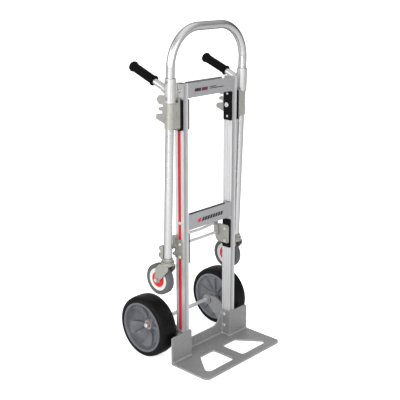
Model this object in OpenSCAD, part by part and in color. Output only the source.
// Convertible hand truck.
// It stands on its nose plate and two large wheels. Its handle frame slides through
// two saddles and swings on them, which lays the truck flat on four wheels.
// X runs to the right seen from the front, the load side faces -Y, and Z is up.
// Origin: on the floor, midway between the rails, in the plane of their front faces.

/* [Frame] */
// Height of the rails' top ends above the floor
rail_top = 1114; // [1110:1:1120]
// Width of a rail, seen from the front
rail_w = 25; // [24:0.5:26]
// Depth of a rail, front to back
rail_d = 46; // [45:0.5:47]
// Clear width between the two rails
rail_gap = 252; // [250:1:254]
// Height of the upper crossbar's face
upper_bar_h = 55; // [50:1:58]
// Height of the lower crossbar's face
lower_bar_h = 62; // [55:1:66]
// Middle of the lower crossbar above the floor
lower_bar_z = 572; // [565:1:600]

/* [Nose] */
// Width of the nose plate
nose_w = 457; // [440:1:480]
// Length of the nose plate ahead of the rails
nose_l = 193; // [180:1:210]
// Thickness of the nose plate
nose_t = 8; // [6:0.5:10]
// Height of the sockets that hold the rails
socket_h = 118; // [114:1:119]

/* [Main wheels] */
// Diameter of a main wheel
wheel_d = 254; // [250:1:258]
// Width of a main wheel
wheel_w = 83; // [78:1:86]
// Width over both main wheels
wheel_span = 514; // [510:1:520]
// Distance of the axle behind the rails' front faces
axle_y = 143.5; // [142:0.5:150]
// Diameter of the axle
axle_d = 16; // [15:0.5:17]

/* [Handle] */
// Height of the top of the handle loop
loop_top = 1334; // [1320:1:1350]
// Outside diameter of the handle tube
tube_d = 31.75; // [31:0.05:32]
// Distance of each handle tube from the middle plane
tube_x = 202; // [201:0.5:203]
// Forward lean of the handle tubes
lean = 2; // [1.8:0.1:2.2]
// Height of the handle tubes' lower ends
foot_z = 436; // [434:1:438]
// Distance of the lower ends' axes behind the rails' front faces
foot_y = 41; // [40:0.5:42]
// Bend radius of the loop, on the tube's centre line
bend_r = 140; // [120:1:150]
// Diameter of the hand grips
grip_d = 34; // [32:0.5:36]
// Length of the hand grips
grip_l = 128; // [120:1:140]
// Rise of the hand grips towards the rear
grip_rise = 21.5; // [15:0.5:25]

/* [Pivots] */
// Height of the handle frame's pivots
pivot_z = 1001.7; // [1001:0.1:1003]
// Distance of the pivots behind the rails' front faces
pivot_y = 24; // [23:0.5:25]
// Diameter of the pivot bolts
pivot_d = 12; // [10:0.5:13]

/* [Casters] */
// Diameter of a caster wheel
caster_d = 127; // [120:1:128]
// Width of a caster wheel
caster_w = 34; // [30:1:35]
// Distance of a caster's axle behind its swivel axis
caster_trail = 40; // [36:1:42]
// Distance from a tube's lower end down to the caster's axle
caster_drop = 96.5; // [95:0.5:100]

/* [Hidden] */
$fn = 64;

// Gap between parts that are clamped, screwed or pushed together
snug = 0.05;
// Gap between parts that turn or slide on each other
running = 0.05;
// Overshoot of a cut past the face it starts from
cut = 1;

// Rails, seen on the right-hand side
rail_in = rail_gap / 2;
rail_out = rail_in + rail_w;
rail_wall = 2.5;
stripe_w = 15;
stripe_t = 1.4;
stripe_y = 24;
groove_w = 3;
groove_t = 0.8;

// Crossbars
bar_t = 3;
upper_bar_depth = 40;
lower_bar_depth = 20;
bar_foot_t = 4;
bar_foot_d = 40;
nut_room = 18;
upper_bar_z = rail_top - upper_bar_h / 2;

// Bolts: M8 through the frame, M6 for the plates
bolt_d = 8;
bolt_head_d = 14;
bolt_head_t = 4.5;
nut_w = 13;
nut_t = 6.5;
screw_d = 6;
screw_head_d = 11;
screw_head_t = 3.5;
plate_head_d = 9.5;
plate_head_t = 2;

// Nose casting
wing_t = 6;
socket_in = rail_in - 8;
socket_out = rail_out + 6;
socket_back = 45;
riser_y = 38;
riser_h = 52;
fillet = 4;
mark_z = 32;
mark_step = 45;
window_in = 26;
window_out = 107;
window_far = 194;
window_back = -43;
window_front = -157;
nose_bolt_y = 26;
nose_bolt_z = [48, 99];

// Wear plates beside the pivots and beside the latches
plate_y0 = 0.5;
plate_y1 = 41;
plate_in_t = 7;
plate_out_t = 15;
plate_z0 = 941;
plate_z1 = 1055;
lower_plate_z0 = 405;
lower_plate_z1 = 527;
plate_in = rail_in - plate_in_t;
plate_out = rail_out + plate_out_t;
plate_screw_y = (plate_y0 + plate_y1) / 2;
plate_screw_step = 45;

// Latch at the lower end of the handle tubes
latch_bolt_y = 20;
latch_bolt_z = [435, 487];
catch_t = 5.5;
catch_z0 = 429;
catch_z1 = 505;
catch_tab_z = 524;
catch_reach = 172;
fin_y0 = 36;
fin_t = 9;
housing_in = plate_in - 4;
housing_z0 = 423;
housing_z1 = 502;
shaft_y = 67;
shaft_z = 462;
shaft_d = 12;
bail_y = 70;
bail_z = 505;
bail_bow = 8;
bail_end_d = 9;
bail_socket = 10;
arm_t = 8;
arm_x = housing_in - 0.5 - arm_t;

// Axle and main wheels
axle_z = wheel_d / 2;
wheel_mid = (wheel_span - wheel_w) / 2;
hub_in = 159;
hub_out = 219;
bracket_in = 136;
bracket_out = 154;
bracket_web_in = 140;
bracket_web_out = 150;
bracket_boss_r = 20;
bracket_foot_t = 6;
bracket_foot_in = rail_in + 2;
bracket_foot_z = [20, 118];
bracket_screw_x = rail_in + 7;
bracket_screw_z = [38, 100];
washer_t = 3;
washer_d = 28;
cap_r = 9.8;
axle_end = hub_out + washer_t + 8;
bearing_d = 35;
bearing_w = 12;
tyre_r = wheel_d / 2;
rim_r = 98;
rim_flange_r = 104;
rim_half = 36;
hub_flange = 40.5;
boss_r = 26;
web_x0 = -20;
web_x1 = -12;

// Saddles
saddle_in = plate_out + 1;
saddle_plate_t = 9;
saddle_z0 = 943;
saddle_z1 = 1048;
saddle_r = 17.6;
saddle_band_r = 19.5;
saddle_sleeve_z0 = 953;
saddle_band_h = 36;
saddle_rib_y = [4, 35];
pivot_depth = 12;
pivot_head_d = 19;
pivot_head_t = 3.5;

// Handle frame
tube_wall = 2.4;
collar_z0 = 1050;
collar_z1 = 1139;
collar_r = 21;
post_d = 25;
collar_screw_z = [1066, 1126];
collar_screw_turn = 90;
post_wall = 2;
post_z = 1089.5;
post_start = collar_r + 1;
grip_start = 87;

// Feet of the handle tubes, measured from the tubes' lower ends
foot_flange = 10;
foot_flange_r = 21;
foot_band = 1.5;
lug_w = 18;

// Casters
swivel_pin_d = 12;
crown_top = -foot_flange - 1;
crown_t = 4;
race_t = 13;
fork_crown_r = 26;
fork_t = 3.5;
fork_gap = caster_w + 4;
caster_bolt_d = 10;
caster_rim_r = 46;
caster_cap_r = 31;

// Rounds one corner q = [x, y, radius] between the corners before and after it
function unit(v) = v / norm(v);
function corner(p, q, s, n) =
    let (
        c = [q.x, q.y],
        a = unit([p.x, p.y] - c),
        b = unit([s.x, s.y] - c),
        half = acos(a * b) / 2,
        r = q[2],
        centre = c + unit(a + b) * r / sin(half),
        first = c + a * r / tan(half) - centre,
        last = c + b * r / tan(half) - centre,
        start = atan2(first.y, first.x),
        turn = (atan2(last.y, last.x) - start + 540) % 360 - 180
    )
    [for (i = [0:n]) centre + r * [cos(start + turn * i / n), sin(start + turn * i / n)]];

// Outline through corners [x, y, radius]; a corner of radius 0 stays sharp
function rounded(corners, n = 6) =
    let (m = len(corners))
    [for (i = [0:m - 1])
        each corners[i][2] == 0
            ? [[corners[i].x, corners[i].y]]
            : corner(corners[(i + m - 1) % m], corners[i], corners[(i + 1) % m], n)];

// Distance of the handle tube's axis behind the rails' front faces at height z
function tube_y(z) = foot_y - (z - foot_z) * tan(lean);

// Draws the right-hand shape as it is, or mirrored for the left-hand side
module on_side(side) {
    if (side == "left") mirror([1, 0, 0]) children();
    else children();
}

module on_both_sides() {
    children();
    mirror([1, 0, 0]) children();
}

// Puts children on the handle tube's axis at height z, with their z along the tube
module on_tube(z) {
    translate([tube_x, tube_y(z), z]) rotate([lean, 0, 0]) children();
}

// Turns children so that their z runs along +X from the given point
module across(x, y, z) {
    translate([x, y, z]) rotate([0, 90, 0]) children();
}

// Extrudes an outline of [Y, Z] points from x by t towards +X
module plate_yz(x, t) {
    translate([x, 0, 0]) rotate([90, 0, 90]) linear_extrude(t) children();
}

// Extrudes an outline of [X, Z] points from y by t towards +Y
module plate_xz(y, t) {
    translate([0, y + t, 0]) rotate([90, 0, 0]) linear_extrude(t) children();
}

// Round hole along X from x by length
module hole_x(x, y, z, d, length) {
    across(x - cut, y, z) cylinder(d = d, h = length + 2 * cut);
}

// Bolt along +X: its head ends at x and its shank runs on by length
module bolt_x(x, y, z, d, length, head_d, head_t) {
    across(x - head_t, y, z) {
        rotate_extrude() polygon([
            [0, 0], [head_d * 0.34, 0], [head_d / 2, head_t * 0.45], [head_d / 2, head_t],
            [d / 2, head_t], [d / 2, head_t + length], [0, head_t + length]
        ]);
    }
}

// Hexagon nut along X, on a bolt of diameter d
module nut_x(x, y, z, d) {
    across(x, y, z) difference() {
        cylinder(d = nut_w / cos(30), h = nut_t, $fn = 6);
        translate([0, 0, -cut]) cylinder(d = d + 2 * snug, h = nut_t + 2 * cut);
    }
}

// ---- Frame ----

module rail_profile() {
    difference() {
        translate([rail_in, 0]) square([rail_w, rail_d]);
        translate([rail_in + rail_wall, rail_wall])
            square([rail_w - 2 * rail_wall - stripe_t, rail_d - 2 * rail_wall]);
        translate([rail_out - stripe_t, stripe_y - stripe_w / 2]) square([stripe_t + cut, stripe_w]);
        for (y = [0.22, 0.5, 0.78] * rail_d)
            translate([rail_in - cut, y - groove_w / 2]) square([groove_t + cut, groove_w]);
        for (x = [0.3, 0.7] * rail_w)
            translate([rail_in + x - groove_w / 2, -cut]) square([groove_w, groove_t + cut]);
    }
}

module rail(side) {
    color("silver") on_side(side) difference() {
        translate([0, 0, nose_t]) linear_extrude(rail_top - nose_t) rail_profile();
        hole_x(rail_in, pivot_y, pivot_z, pivot_d + 1, rail_w);
        for (k = [-1, 1])
            hole_x(rail_in, plate_screw_y, pivot_z + k * plate_screw_step, screw_d + 2 * snug, rail_w);
        for (z = latch_bolt_z) hole_x(rail_in, latch_bolt_y, z, bolt_d + 2 * snug, rail_w);
        for (z = nose_bolt_z) hole_x(rail_in, nose_bolt_y, z, bolt_d + 2 * snug, rail_w);
        for (z = [lower_bar_z, upper_bar_z]) hole_x(rail_in, stripe_y, z, bolt_d + 2 * snug, rail_w);
        for (z = bracket_screw_z)
            translate([bracket_screw_x, rail_d + cut, z]) rotate([90, 0, 0])
                cylinder(d = screw_d + 2 * snug, h = rail_wall + 2 * cut);
    }
}

module stripe_piece(z0, z1) {
    translate([rail_out - stripe_t + snug, stripe_y - stripe_w / 2 + snug, z0])
        cube([stripe_t + 0.2, stripe_w - 2 * snug, z1 - z0]);
}

module rail_stripes() {
    color("firebrick") on_both_sides() {
        stripe_piece(socket_h + 2, catch_z0 - 1);
        difference() {
            stripe_piece(catch_z1 + 1, plate_z0 - 1);
            hole_x(rail_out - stripe_t, stripe_y, lower_bar_z, bolt_head_d + 1, stripe_t);
        }
    }
}

// Channel open at the top, with a foot at each end that is bolted to the rail.
// Its rear wall stops short of the feet, which leaves room for the nuts.
module crossbar(z, h, depth) {
    z0 = z - h / 2;
    color("darkgray") difference() {
        union() {
            translate([-rail_in + snug, 0, z0]) cube([2 * (rail_in - snug), depth, h]);
            for (x = [-rail_in + snug, rail_in - snug - bar_foot_t])
                plate_yz(x, bar_foot_t) polygon(rounded([
                    [0, z0, 0], [bar_foot_d, z0, 6], [bar_foot_d, z0 + h, 6], [0, z0 + h, 0]
                ]));
        }
        translate([-rail_in + bar_foot_t, bar_t, z0 + bar_t])
            cube([2 * (rail_in - bar_foot_t), depth - 2 * bar_t, h]);
        on_both_sides() translate([rail_in - bar_foot_t - nut_room, bar_t, z0 + bar_t])
            cube([nut_room, depth, h]);
        hole_x(-rail_in, stripe_y, z, bolt_d + 2 * snug, rail_gap);
    }
}

module crossbar_bolts() {
    length = rail_w - stripe_t + bar_foot_t + nut_t + 3;
    color("gainsboro") on_both_sides() for (z = [lower_bar_z, upper_bar_z])
        mirror([1, 0, 0])
            bolt_x(-(rail_out - stripe_t), stripe_y, z, bolt_d, length, bolt_head_d, bolt_head_t);
}

// ---- Nose ----

// Top edge of the nose's rear wall: low in the middle, sweeping up to the sockets
function riser_z(x) = riser_h + (socket_h - riser_h) * pow(max(0, (abs(x) - 60) / (socket_in - 60)), 2.6);

module nose_window() {
    translate([0, 0, -cut]) linear_extrude(nose_t + 2 * cut) polygon(rounded([
        [window_in, window_back, 12], [window_out, window_back, 12],
        [window_far, window_front, 16], [window_in, window_front, 12]
    ]));
}

module nose_socket_wall(x, t) {
    plate_yz(x, t) polygon([[0, 0], [socket_back, 0], [socket_back, socket_h], [0, socket_h]]);
}

// Sloping fillets where the wings and the rear wall rise from the base
module nose_fillets() {
    for (run = [[-nose_w / 2, -socket_in, -wing_t], [socket_in, nose_w / 2, -wing_t], [-socket_in, socket_in, riser_y]])
        plate_yz(run[0], run[1] - run[0])
            polygon([[run[2] - fillet, nose_t - cut], [run[2] - fillet, nose_t], [run[2], nose_t + fillet],
                [run[2] + cut, nose_t + fillet], [run[2] + cut, nose_t - cut]]);
}

// Round marks of the ejector pins on the rear wall
module nose_marks() {
    for (k = [-1:1]) translate([k * mark_step, riser_y + cut, mark_z]) rotate([90, 0, 0])
        cylinder(r = 3.5, h = cut + 1);
}

module nose_plate() {
    riser_in = socket_in + 1;
    color("gray") difference() {
        union() {
            linear_extrude(nose_t) polygon(rounded([
                [-nose_w / 2, 0, 0], [-nose_w / 2, -nose_l, 22], [nose_w / 2, -nose_l, 22],
                [nose_w / 2, 0, 0], [socket_out, 0, 0], [socket_out, socket_back, 0],
                [-socket_out, socket_back, 0], [-socket_out, 0, 0]
            ]));
            on_both_sides() {
                plate_xz(-wing_t, wing_t) polygon(rounded([
                    [socket_in, 0, 0], [nose_w / 2, 0, 0], [nose_w / 2, socket_h, 9],
                    [socket_in, socket_h, 0]
                ]));
                nose_socket_wall(socket_in, rail_in - snug - socket_in);
                nose_socket_wall(rail_out + snug, socket_out - rail_out - snug);
            }
            nose_fillets();
            nose_marks();
            plate_xz(riser_y, socket_back - riser_y) polygon(concat(
                [[riser_in, 0], [riser_in, socket_h]],
                [for (x = [riser_in - 6:-6:-riser_in + 6]) [x, riser_z(x)]],
                [[-riser_in, socket_h], [-riser_in, 0]]
            ));
        }
        on_both_sides() {
            nose_window();
            for (z = nose_bolt_z)
                hole_x(socket_in, nose_bolt_y, z, bolt_d + 2 * snug, socket_out - socket_in);
        }
    }
}

module nose_bolts() {
    length = socket_out - socket_in + nut_t + 3;
    color("gainsboro") on_both_sides() for (z = nose_bolt_z)
        bolt_x(socket_in, nose_bolt_y, z, bolt_d, length, bolt_head_d, bolt_head_t);
}

module frame_nuts() {
    color("gainsboro") on_both_sides() {
        for (z = nose_bolt_z) nut_x(socket_out, nose_bolt_y, z, bolt_d);
        for (z = latch_bolt_z) nut_x(housing_in - nut_t, latch_bolt_y, z, bolt_d);
        for (z = [lower_bar_z, upper_bar_z])
            nut_x(rail_in - snug - bar_foot_t - nut_t, stripe_y, z, bolt_d);
    }
}

// ---- Axle and main wheels ----

module axle_bracket(side) {
    color("darkgray") on_side(side) difference() {
        union() {
            translate([bracket_foot_in, rail_d, bracket_foot_z[0]])
                cube([bracket_web_out - bracket_foot_in, bracket_foot_t, bracket_foot_z[1] - bracket_foot_z[0]]);
            plate_yz(bracket_web_in, bracket_web_out - bracket_web_in) polygon([
                [rail_d, bracket_foot_z[0]], [axle_y, axle_z - bracket_boss_r],
                [axle_y, axle_z + bracket_boss_r], [rail_d + 50, axle_z + bracket_boss_r],
                [rail_d, bracket_foot_z[1]]
            ]);
            across(bracket_in, axle_y, axle_z) cylinder(r = bracket_boss_r, h = bracket_out - bracket_in);
        }
        hole_x(bracket_in, axle_y, axle_z, axle_d + 2 * snug, bracket_out - bracket_in);
        for (z = bracket_screw_z)
            translate([bracket_screw_x, rail_d - cut, z]) rotate([-90, 0, 0])
                cylinder(d = screw_d + 2 * snug, h = bracket_foot_t + 2 * cut);
    }
}

module bracket_screws() {
    head_y = rail_d + bracket_foot_t + screw_head_t;
    color("gainsboro") on_both_sides() for (z = bracket_screw_z)
        translate([bracket_screw_x, head_y, z]) rotate([90, 0, 0]) {
            cylinder(d = screw_head_d, h = screw_head_t);
            cylinder(d = screw_d, h = screw_head_t + bracket_foot_t + 10);
        }
}

module axle() {
    color("gainsboro") across(-axle_end, axle_y, axle_z) cylinder(d = axle_d, h = 2 * axle_end);
}

module washer(x) {
    across(x, axle_y, axle_z) difference() {
        cylinder(d = washer_d, h = washer_t);
        translate([0, 0, -cut]) cylinder(d = axle_d + 2 * snug, h = washer_t + 2 * cut);
    }
}

module axle_washers() {
    color("firebrick") on_both_sides() {
        washer(hub_in - 0.5 - washer_t);
        washer(hub_out + 0.5);
    }
}

module axle_caps() {
    x0 = hub_out + washer_t + 0.5;
    color("gainsboro") on_both_sides() across(x0, axle_y, axle_z) difference() {
        rotate_extrude() polygon(rounded([[0, 0, 0], [cap_r, 0, 0], [cap_r, 11, 4], [0, 11, 0]]));
        translate([0, 0, -cut]) cylinder(d = axle_d + 2 * snug, h = axle_end - x0 + cut + snug);
    }
}

module tyre(side) {
    half = wheel_w / 2;
    color("#1c1c1e") on_side(side) across(wheel_mid, axle_y, axle_z) rotate_extrude() polygon(rounded([
        [rim_r, -rim_half, 0], [rim_flange_r, -rim_half, 0], [rim_flange_r, -half + 2, 2],
        [tyre_r - 17, -half, 4], [tyre_r - 2, -half + 4, 12], [tyre_r, 0, 0], [tyre_r - 2, half - 4, 12],
        [tyre_r - 17, half, 4], [rim_flange_r, half - 2, 2], [rim_flange_r, rim_half, 0],
        [rim_r, rim_half, 0]
    ]));
}

module hub_spokes() {
    intersection() {
        rotate_extrude() polygon([
            [boss_r - 2, web_x1 - 4], [rim_r - 3, web_x1 - 4], [rim_r - 3, web_x1 + 36], [boss_r - 2, web_x1 + 14]
        ]);
        for (i = [0:4]) rotate([0, 0, i * 72 + 12]) linear_extrude(120, center = true)
            polygon([[boss_r - 5, -7], [rim_r + 2, -16], [rim_r + 2, 16], [boss_r - 5, 7]]);
    }
}

module hub_ribs() {
    for (i = [0:9]) rotate([0, 0, i * 36 + 5]) translate([boss_r - 3, -2, web_x0 - 14])
        cube([rim_r - 1 - boss_r, 4, 17]);
}

module hub(side) {
    color("dimgray") on_side(side) across(wheel_mid, axle_y, axle_z) difference() {
        union() {
            rotate_extrude() polygon([
                [8, hub_in - wheel_mid], [boss_r, hub_in - wheel_mid], [boss_r, web_x0], [90, web_x0],
                [90, -hub_flange], [rim_flange_r - snug, -hub_flange], [rim_flange_r - snug, -rim_half - snug],
                [rim_r - snug, -rim_half - snug], [rim_r - snug, rim_half + snug],
                [rim_flange_r - snug, rim_half + snug], [rim_flange_r - snug, hub_flange], [95, hub_flange],
                [90, web_x1], [boss_r, web_x1], [boss_r, hub_out - wheel_mid], [8, hub_out - wheel_mid]
            ]);
            hub_spokes();
            hub_ribs();
        }
        translate([0, 0, hub_in - wheel_mid - cut]) cylinder(r = 10, h = hub_out - hub_in + 2 * cut);
        translate([0, 0, hub_in - wheel_mid - cut])
            cylinder(d = bearing_d + 2 * snug, h = bearing_w + cut);
        translate([0, 0, hub_out - wheel_mid - bearing_w])
            cylinder(d = bearing_d + 2 * snug, h = bearing_w + cut);
    }
}

module bearing(x) {
    across(x, axle_y, axle_z) difference() {
        cylinder(d = bearing_d, h = bearing_w - snug);
        translate([0, 0, -cut]) cylinder(d = axle_d + 2 * running, h = bearing_w + 2 * cut);
    }
}

module bearings(side) {
    color("gainsboro") on_side(side) {
        bearing(hub_in);
        bearing(hub_out - bearing_w + snug);
    }
}

// ---- Wear plates ----

module plate_outline(z0, z1) {
    polygon(rounded([
        [plate_y0, z0, 2], [plate_y1, z0, 4], [plate_y1, z1, 4], [plate_y0, z1, 2]
    ]));
}

module inner_plate(side) {
    color("#141414") on_side(side) difference() {
        plate_yz(plate_in, plate_in_t) plate_outline(plate_z0, plate_z1);
        hole_x(plate_in, pivot_y, pivot_z, pivot_d + 2 * running, plate_in_t);
        for (k = [-1, 1])
            hole_x(plate_in, plate_screw_y, pivot_z + k * plate_screw_step, screw_d + 2 * snug, plate_in_t);
    }
}

module outer_plate(side) {
    color("#141414") on_side(side) difference() {
        plate_yz(rail_out, plate_out_t) plate_outline(plate_z0, plate_z1);
        hole_x(rail_out, pivot_y, pivot_z, pivot_d + 2 * running, plate_out_t);
        for (k = [-1, 1])
            hole_x(rail_out - cut, plate_screw_y, pivot_z + k * plate_screw_step, screw_d + 2 * snug, 11);
    }
}

module plate_screws() {
    color("gainsboro") on_both_sides() for (k = [-1, 1])
        bolt_x(plate_in, plate_screw_y, pivot_z + k * plate_screw_step, screw_d,
            plate_in_t + rail_w + 10, plate_head_d, plate_head_t);
}

module lower_plate(side) {
    color("#141414") on_side(side) difference() {
        plate_yz(plate_in, plate_in_t) plate_outline(lower_plate_z0, lower_plate_z1);
        for (z = latch_bolt_z) hole_x(plate_in, latch_bolt_y, z, bolt_d + 2 * snug, plate_in_t);
    }
}

// ---- Latch ----

module catch(side) {
    color("#bdbbad") on_side(side) difference() {
        union() {
            plate_yz(rail_out + 0.2, catch_t) polygon(rounded([
                [5, catch_z0, 5], [rail_d, catch_z0, 3], [rail_d, catch_z1, 3], [5, catch_z1, 9]
            ]));
            plate_xz(fin_y0, fin_t) polygon(rounded([
                [rail_out + 0.2, catch_z0, 0], [catch_reach, catch_z0 + 16, 4],
                [catch_reach, catch_tab_z, 4], [rail_out + 6, catch_tab_z, 4], [rail_out + 0.2, catch_z1, 0]
            ]));
            translate([rail_out + 0.2, 20, catch_z1 - 8]) cube([catch_t + 8, rail_d - 21, 8]);
        }
        plate_xz(fin_y0 - cut, fin_t + 2 * cut) polygon(rounded([
            [rail_out + 8, 455, 5], [catch_reach + cut, 452, 0], [catch_reach + cut, 478, 0],
            [rail_out + 8, 475, 5]
        ]));
        for (z = latch_bolt_z) hole_x(rail_out, latch_bolt_y, z, bolt_d + 2 * snug, catch_t + 1);
    }
}

module latch_housing(side) {
    color("#bdbbad") on_side(side) difference() {
        plate_yz(housing_in, plate_in - housing_in - snug) polygon(rounded([
            [4.2, housing_z0, 9], [68, housing_z0, 9], [78, housing_z0 + 20, 8],
            [78, housing_z1 - 22, 8], [60, housing_z1, 9], [4.2, housing_z1, 9]
        ]));
        hole_x(housing_in, shaft_y, shaft_z, shaft_d + 2 * running, plate_in - housing_in);
        for (z = latch_bolt_z)
            hole_x(housing_in, latch_bolt_y, z, bolt_d + 2 * snug, plate_in - housing_in);
    }
}

module latch_bolts() {
    head_x = rail_out + 0.2 + catch_t;
    length = head_x - housing_in + nut_t + 3;
    color("gainsboro") on_both_sides() for (z = latch_bolt_z)
        mirror([1, 0, 0]) bolt_x(-head_x, latch_bolt_y, z, bolt_d, length, bolt_head_d, bolt_head_t);
}

module latch_shaft() {
    half = catch_reach + 1;
    color("gainsboro") across(-half, shaft_y, shaft_z) cylinder(d = shaft_d, h = 2 * half);
}

// Bored lever on the latch shaft, from x by t, around an outline of [Y, Z] points
module shaft_lever(x, t, r) {
    difference() {
        union() {
            across(x, shaft_y, shaft_z) cylinder(r = r, h = t);
            plate_yz(x, t) children();
        }
        hole_x(x, shaft_y, shaft_z, shaft_d + 2 * snug, t);
    }
}

// Claws on the shaft's ends, and the arms that carry the release bar
module latch_levers() {
    color("#bdbbad") on_both_sides() {
        shaft_lever(catch_reach - 9, 9, 11) polygon(rounded([
            [shaft_y - 11, shaft_z, 0], [shaft_y - 13, shaft_z + 20, 3], [shaft_y - 9, shaft_z + 34, 4],
            [shaft_y + 5, shaft_z + 30, 3], [shaft_y + 11, shaft_z, 0]
        ]));
        difference() {
            union() {
                shaft_lever(arm_x, arm_t, 11) polygon([
                    [shaft_y - 11, shaft_z], [bail_y - 9, bail_z], [bail_y + 9, bail_z], [shaft_y + 11, shaft_z]
                ]);
                across(arm_x - bail_socket, bail_y, bail_z) cylinder(r = 9, h = arm_t + bail_socket);
            }
            hole_x(arm_x - bail_socket, bail_y, bail_z, bail_end_d + 2 * snug, arm_t + bail_socket);
        }
    }
}

// Bar that bows down between the two arms, with a thinner straight end in each arm
module release_bar() {
    half = arm_x - bail_socket - 1;
    bow_r = (half * half + bail_bow * bail_bow) / (2 * bail_bow);
    bow_a = asin(half / bow_r);
    color("gainsboro") {
        translate([0, bail_y, bail_z - bail_bow + bow_r]) rotate([90, 0, 0]) rotate([0, 0, -90 - bow_a])
            rotate_extrude(angle = 2 * bow_a) translate([bow_r, 0]) circle(d = shaft_d);
        on_both_sides() across(half - 4, bail_y, bail_z)
            cylinder(d = bail_end_d, h = arm_t + bail_socket + 5);
    }
}

// ---- Saddles ----

module saddle_outline() {
    polygon(rounded([
        [2, saddle_z0 + 8, 6], [16, saddle_z0, 6], [48, saddle_z0, 8], [74, saddle_z0 + 16, 6],
        [124, saddle_z0 + 32, 5], [120, saddle_z0 + 50, 5], [88, saddle_z0 + 54, 3],
        [88, saddle_z0 + 64, 3], [109, saddle_z0 + 65, 3], [105, saddle_z0 + 78, 4],
        [86, saddle_z0 + 79, 3], [84, saddle_z0 + 89, 3], [104, saddle_z0 + 87, 12],
        [119, saddle_z0 + 104, 12], [108, saddle_z0 + 123, 12], [80, saddle_z0 + 123, 8],
        [60, saddle_z0 + 117, 6], [2, saddle_z0 + 117, 5]
    ]));
}

module saddle(side) {
    color("#bdbbad") on_side(side) difference() {
        union() {
            plate_yz(saddle_in, saddle_plate_t) saddle_outline();
            translate([saddle_in, saddle_rib_y[0], saddle_sleeve_z0])
                cube([tube_x - saddle_in, saddle_rib_y[1] - saddle_rib_y[0], saddle_z1 - saddle_sleeve_z0]);
            translate([saddle_in + 13, saddle_rib_y[0] - 2.5, pivot_z]) rotate([-90, 0, 0])
                cylinder(r = 6, h = 10);
            on_tube(saddle_sleeve_z0) cylinder(r = saddle_r, h = saddle_z1 - saddle_sleeve_z0);
            on_tube(saddle_sleeve_z0) cylinder(r = saddle_band_r, h = saddle_band_h);
        }
        on_tube(saddle_z0 - 20) cylinder(d = tube_d + 4 * running, h = saddle_z1 - saddle_z0 + 60);
        hole_x(saddle_in, pivot_y, pivot_z, pivot_d + 2 * snug, pivot_depth);
    }
}

module pivot_bolts() {
    color("gainsboro") on_both_sides()
        bolt_x(plate_in - 0.2, pivot_y, pivot_z, pivot_d, saddle_in + pivot_depth - plate_in,
            pivot_head_d, pivot_head_t);
}

// ---- Handle frame ----

module tube_ring() {
    difference() {
        circle(d = tube_d);
        circle(d = tube_d - 2 * tube_wall);
    }
}

module handle_loop() {
    up = (loop_top - tube_d / 2 - foot_z) / cos(lean) - bend_r;
    flat = tube_x - bend_r;
    color("gainsboro") translate([0, foot_y, foot_z]) rotate([lean, 0, 0]) {
        on_both_sides() {
            translate([tube_x, 0, 0]) linear_extrude(up) tube_ring();
            translate([flat, 0, up]) rotate([90, 0, 0])
                rotate_extrude(angle = 90) translate([bend_r, 0]) tube_ring();
        }
        translate([-flat, 0, up + bend_r]) rotate([0, 90, 0]) linear_extrude(2 * flat) tube_ring();
    }
}

// Runs children out along a hand grip's axis, from the handle tube's axis
module along_grip() {
    translate([tube_x, tube_y(post_z), post_z]) rotate([-(90 - grip_rise), 0, 0]) children();
}

module collar(side) {
    color("whitesmoke") on_side(side) difference() {
        union() {
            on_tube(collar_z0) cylinder(r = collar_r, h = collar_z1 - collar_z0);
            along_grip() cylinder(d = post_d + 9, h = collar_r + 14);
        }
        on_tube(collar_z0 - 20) cylinder(d = tube_d + 2 * snug, h = collar_z1 - collar_z0 + 40);
        along_grip() cylinder(d = post_d + 2 * snug, h = collar_r + 20);
        for (z = collar_screw_z) on_tube(z) rotate([0, 0, collar_screw_turn]) rotate([90, 0, 0])
            cylinder(d = screw_d + 2 * snug, h = collar_r + cut);
    }
}

module collar_screws() {
    color("gray") on_both_sides() for (z = collar_screw_z)
        on_tube(z) rotate([0, 0, collar_screw_turn]) rotate([90, 0, 0]) {
            translate([0, 0, tube_d / 2 + snug]) cylinder(d = screw_d, h = collar_r - tube_d / 2);
            translate([0, 0, collar_r]) cylinder(d = screw_head_d, h = 2.5);
        }
}

module grip_post(side) {
    color("gainsboro") on_side(side) along_grip() translate([0, 0, post_start]) difference() {
        cylinder(d = post_d, h = grip_start + grip_l - 12 - post_start);
        translate([0, 0, -cut]) cylinder(d = post_d - 2 * post_wall, h = grip_start + grip_l);
    }
}

module grip(side) {
    r = grip_d / 2;
    color("#141414") on_side(side) along_grip() translate([0, 0, grip_start]) difference() {
        rotate_extrude() polygon(rounded([
            [0, 0, 0], [r + 3, 0, 2], [r + 3, 5, 2], [r, 8, 2], [r, grip_l - 22, 6],
            [r + 4, grip_l - 8, 5], [r + 1, grip_l, 4], [0, grip_l, 0]
        ]));
        translate([0, 0, -cut]) cylinder(d = post_d + 2 * snug, h = grip_l - 10 + cut);
    }
}

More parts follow.
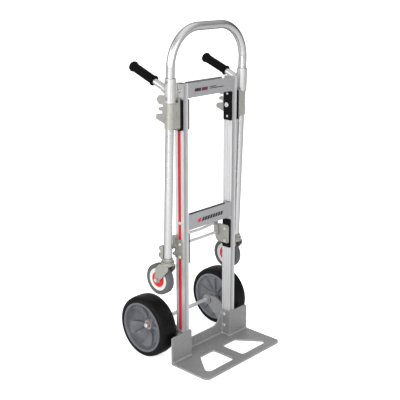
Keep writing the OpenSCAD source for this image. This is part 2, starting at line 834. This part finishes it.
module tube_foot(side) {
    color("#bdbbad") on_side(side) difference() {
        union() {
            on_tube(foot_z) rotate_extrude() polygon([
                [0, -foot_flange], [foot_flange_r, -foot_flange], [foot_flange_r, -5], [foot_flange_r - 2, -4],
                [foot_flange_r - 2, -3], [foot_flange_r - 0.5, -2], [foot_flange_r - 0.5, foot_band], [0, foot_band]
            ]);
            on_tube(foot_z) translate([-lug_w / 2, 0, 0]) rotate([90, 0, 90]) linear_extrude(lug_w)
                polygon(rounded([
                    [17, -foot_flange, 0], [24, -foot_flange, 0], [42, 0, 7], [42, 18, 6], [33, 20, 2],
                    [33, 25, 2], [42, 27, 7], [42, 45, 8], [17, 45, 2]
                ]));
            on_tube(foot_z) cylinder(d = tube_d - 2 * tube_wall - 2 * snug, h = 40);
        }
        difference() {
            on_tube(foot_z) cylinder(d = tube_d + 2 * snug, h = 60);
            on_tube(foot_z) translate([0, 0, -cut]) cylinder(d = tube_d - 2 * tube_wall - 2 * snug, h = 62);
        }
        on_tube(foot_z) translate([0, 0, -foot_flange - cut])
            cylinder(d = swivel_pin_d + 2 * snug, h = 30 + cut);
        on_tube(foot_z) translate([-lug_w / 2 - cut, 35, 9]) rotate([0, 90, 0])
            cylinder(d = 6, h = lug_w + 2 * cut);
    }
}

// Pin at the centre of each caster's swivel, fixed in the tube foot
module kingpins() {
    color("gainsboro") on_both_sides() on_tube(foot_z) {
        translate([0, 0, crown_top - race_t - crown_t - 0.2])
            cylinder(d = swivel_pin_d, h = race_t + crown_t + foot_flange + 15);
        translate([0, 0, crown_top - race_t - crown_t - 4.2]) cylinder(d = 20, h = 4);
    }
}

// ---- Casters ----

// One leg as [Y, Z] points: upright behind, and cut back in front from the crown to the axle
module fork_leg() {
    drop = -caster_drop - crown_top + race_t;
    polygon(rounded([
        [-22, 0, 0], [24, 0, 6], [caster_trail + 5, -22, 12], [caster_trail + 11, drop, 0],
        [caster_trail - 11, drop - 5, 0], [-22, -18, 8]
    ]));
    translate([caster_trail, drop]) circle(r = 12);
}

module caster_fork(side) {
    low = crown_top - race_t - crown_t;
    color("#bdbbad") on_side(side) on_tube(foot_z) difference() {
        union() {
            translate([0, 0, crown_top - race_t]) rotate_extrude() polygon(rounded([
                [0, 0, 0], [fork_crown_r, 0, 1], [fork_crown_r, 5, 2], [fork_crown_r - 3, 6.5, 1],
                [fork_crown_r, 8, 2], [fork_crown_r, race_t, 1], [0, race_t, 0]
            ]));
            translate([-fork_gap / 2 - fork_t, -21, low]) cube([fork_gap + 2 * fork_t, 44, crown_t]);
            for (x = [-fork_gap / 2 - fork_t, fork_gap / 2])
                plate_yz(x, fork_t) translate([0, crown_top - race_t]) fork_leg();
        }
        translate([0, 0, low - cut]) cylinder(d = swivel_pin_d + 2 * running, h = race_t + crown_t + 2 * cut);
        hole_x(-fork_gap / 2 - fork_t, caster_trail, -caster_drop, caster_bolt_d + 2 * snug,
            fork_gap + 2 * fork_t);
    }
}

module caster_bolt(side) {
    half = fork_gap / 2 + fork_t;
    color("gainsboro") on_side(side) on_tube(foot_z) {
        bolt_x(-half, caster_trail, -caster_drop, caster_bolt_d, 2 * half + 7, 15, 4);
        nut_x(half, caster_trail, -caster_drop, caster_bolt_d);
    }
}

// Turns a profile of [radius, X] points about the caster wheel's axle
module caster_turned() {
    on_tube(foot_z) across(0, caster_trail, -caster_drop) rotate_extrude() children();
}

module caster_tyre(side) {
    r = caster_d / 2;
    half = caster_w / 2;
    color("#5d5f61") on_side(side) caster_turned() polygon(rounded([
        [caster_rim_r, -half + 3, 0], [r - 5, -half, 3], [r, -half + 3, 3], [r, half - 3, 3],
        [r - 5, half, 3], [caster_rim_r, half - 3, 0]
    ]));
}

module caster_core(side) {
    half = caster_w / 2;
    bore = caster_bolt_d / 2 + running;
    color("gainsboro") on_side(side) caster_turned() polygon([
        [bore, -half - 1], [13, -half - 1], [13, -half + 3], [caster_cap_r, -half + 6], [40, -half + 5],
        [caster_rim_r - snug, -half + 3], [caster_rim_r - snug, half - 3], [40, half - 5],
        [caster_cap_r, half - 6], [13, half - 3], [13, half + 1], [bore, half + 1]
    ]);
}

module caster_caps(side) {
    half = caster_w / 2;
    color("firebrick") on_side(side) for (k = [-1, 1]) caster_turned() polygon([
        [13 + snug, k * (half - 3 + snug)], [caster_cap_r, k * (half - 6 + snug)],
        [caster_cap_r, k * (half - 3)], [13 + snug, k * (half - 1)]
    ]);
}

rail("left");  // left_rail
rail("right");  // right_rail
rail_stripes();
crossbar(upper_bar_z, upper_bar_h, upper_bar_depth);  // upper_crossbar
crossbar(lower_bar_z, lower_bar_h, lower_bar_depth);  // lower_crossbar
crossbar_bolts();
nose_plate();
nose_bolts();
frame_nuts();
axle_bracket("left");  // left_axle_bracket
axle_bracket("right");  // right_axle_bracket
bracket_screws();
axle();
axle_washers();
axle_caps();
inner_plate("left");  // left_inner_plate
inner_plate("right");  // right_inner_plate
outer_plate("left");  // left_outer_plate
outer_plate("right");  // right_outer_plate
plate_screws();
lower_plate("left");  // left_lower_plate
lower_plate("right");  // right_lower_plate
catch("left");  // left_catch
catch("right");  // right_catch
latch_housing("left");  // left_latch_housing
latch_housing("right");  // right_latch_housing
latch_bolts();
latch_shaft();
latch_levers();
release_bar();
saddle("left");  // left_saddle
saddle("right");  // right_saddle
pivot_bolts();
handle_loop();
collar("left");  // left_collar
collar("right");  // right_collar
grip_post("left");  // left_grip_post
grip_post("right");  // right_grip_post
grip("left");  // left_grip
grip("right");  // right_grip
collar_screws();
tube_foot("left");  // left_tube_foot
tube_foot("right");  // right_tube_foot
kingpins();
caster_fork("left");  // left_caster_fork
caster_fork("right");  // right_caster_fork
caster_bolt("left");  // left_caster_bolt
caster_bolt("right");  // right_caster_bolt
caster_tyre("left");  // left_caster_tyre
caster_tyre("right");  // right_caster_tyre
caster_core("left");  // left_caster_core
caster_core("right");  // right_caster_core
caster_caps("left");  // left_caster_caps
caster_caps("right");  // right_caster_caps
tyre("left");  // left_tyre
tyre("right");  // right_tyre
hub("left");  // left_hub
hub("right");  // right_hub
bearings("left");  // left_bearings
bearings("right");  // right_bearings
